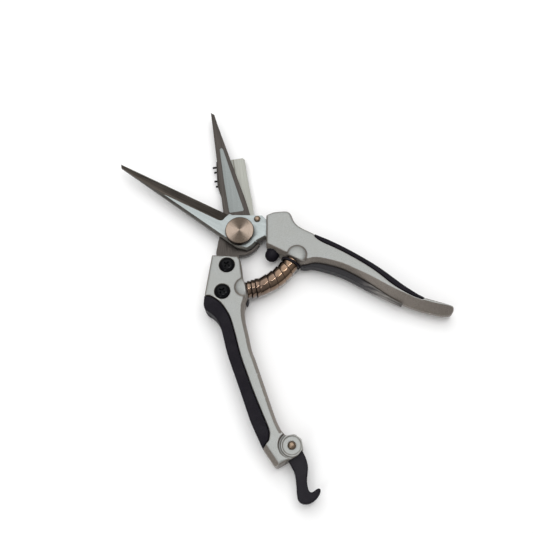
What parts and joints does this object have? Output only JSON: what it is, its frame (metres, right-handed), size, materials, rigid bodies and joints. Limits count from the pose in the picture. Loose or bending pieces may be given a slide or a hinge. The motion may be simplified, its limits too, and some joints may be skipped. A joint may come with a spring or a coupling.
{
  "type": "pruning shears",
  "caption": "Straight-blade pruning shears with cast handles, black grips, a barrel-shaped volute spring between the handles, a large pivot bolt and a swinging hook latch",
  "frame": {"origin": "on the pivot axis, in the plane that the shears lie on with the bolt head up", "axes": "+Z is the pivot axis towards the front face, +Y points to the blade tips midway between the open blades, +X is to the right seen from the front"},
  "size_m": [0.1238, 0.217, 0.0148],
  "materials": {
    "blasted_steel": "fine blasted cool silver steel with a dark ground bevel",
    "ground_steel": "brown-grey ground steel with a sunk pale panel",
    "cast_aluminium": "pale blasted cast aluminium with a fine satin grain",
    "grip_rubber": "black soft rubber, fine matt texture",
    "black_plastic": "black moulded plastic, satin",
    "copper_plated": "polished copper-coloured rivet heads",
    "nickel_plated": "warm nickel with turned rings",
    "bearing_bronze": "plain bearing bronze",
    "black_screw": "black oxide screws and pins, semi-gloss",
    "bar_aluminium": "warm pale anodised plate",
    "spring_bronze": "glossy bronze-coloured flat spring strip"
  },
  "bodies": {
    "lower_half": {"rear_blade": "ground_steel", "lower_handle": "cast_aluminium", "lower_grip": "grip_rubber", "lower_inner_strip": "black_plastic", "lower_handle_screw_1": "black_screw", "lower_handle_screw_2": "black_screw", "stem_bar": "bar_aluminium", "bar_pin_1": "black_screw", "bar_pin_2": "black_screw", "bar_pin_3": "black_screw", "bar_pin_4": "black_screw", "bar_rivet_1": "nickel_plated", "bar_rivet_2": "nickel_plated", "latch_pin": "copper_plated", "pivot_bolt": "nickel_plated", "pivot_bush": "bearing_bronze", "pivot_washer": "nickel_plated", "pivot_nut": "nickel_plated", "volute_spring": "spring_bronze"},
    "upper_half": {"front_blade": "blasted_steel", "upper_handle": "cast_aluminium", "upper_grip": "grip_rubber", "upper_inner_strip": "black_plastic", "spring_seat": "black_plastic", "rubber_bumper": "grip_rubber", "stop_pin": "copper_plated", "upper_handle_screw_1": "black_screw", "upper_handle_screw_2": "black_screw"},
    "latch": {"latch_hook": "black_plastic"}
  },
  "joints": [
    {"name": "pivot", "type": "hinge", "parent": "lower_half", "child": "upper_half", "pos_m": [0, 0, 0.0065], "axis": [0, 0, -1], "range_deg": [0, 44], "stiffness_Nm_per_rad": 1.2, "springref_deg": -20.05, "deforming": ["volute_spring"]},
    {"name": "latch_swing", "type": "hinge", "parent": "lower_half", "child": "latch", "pos_m": [-0.04404, -0.1115, 0.0065], "axis": [0, 0, 1], "range_deg": [0, 70]}
  ]
}
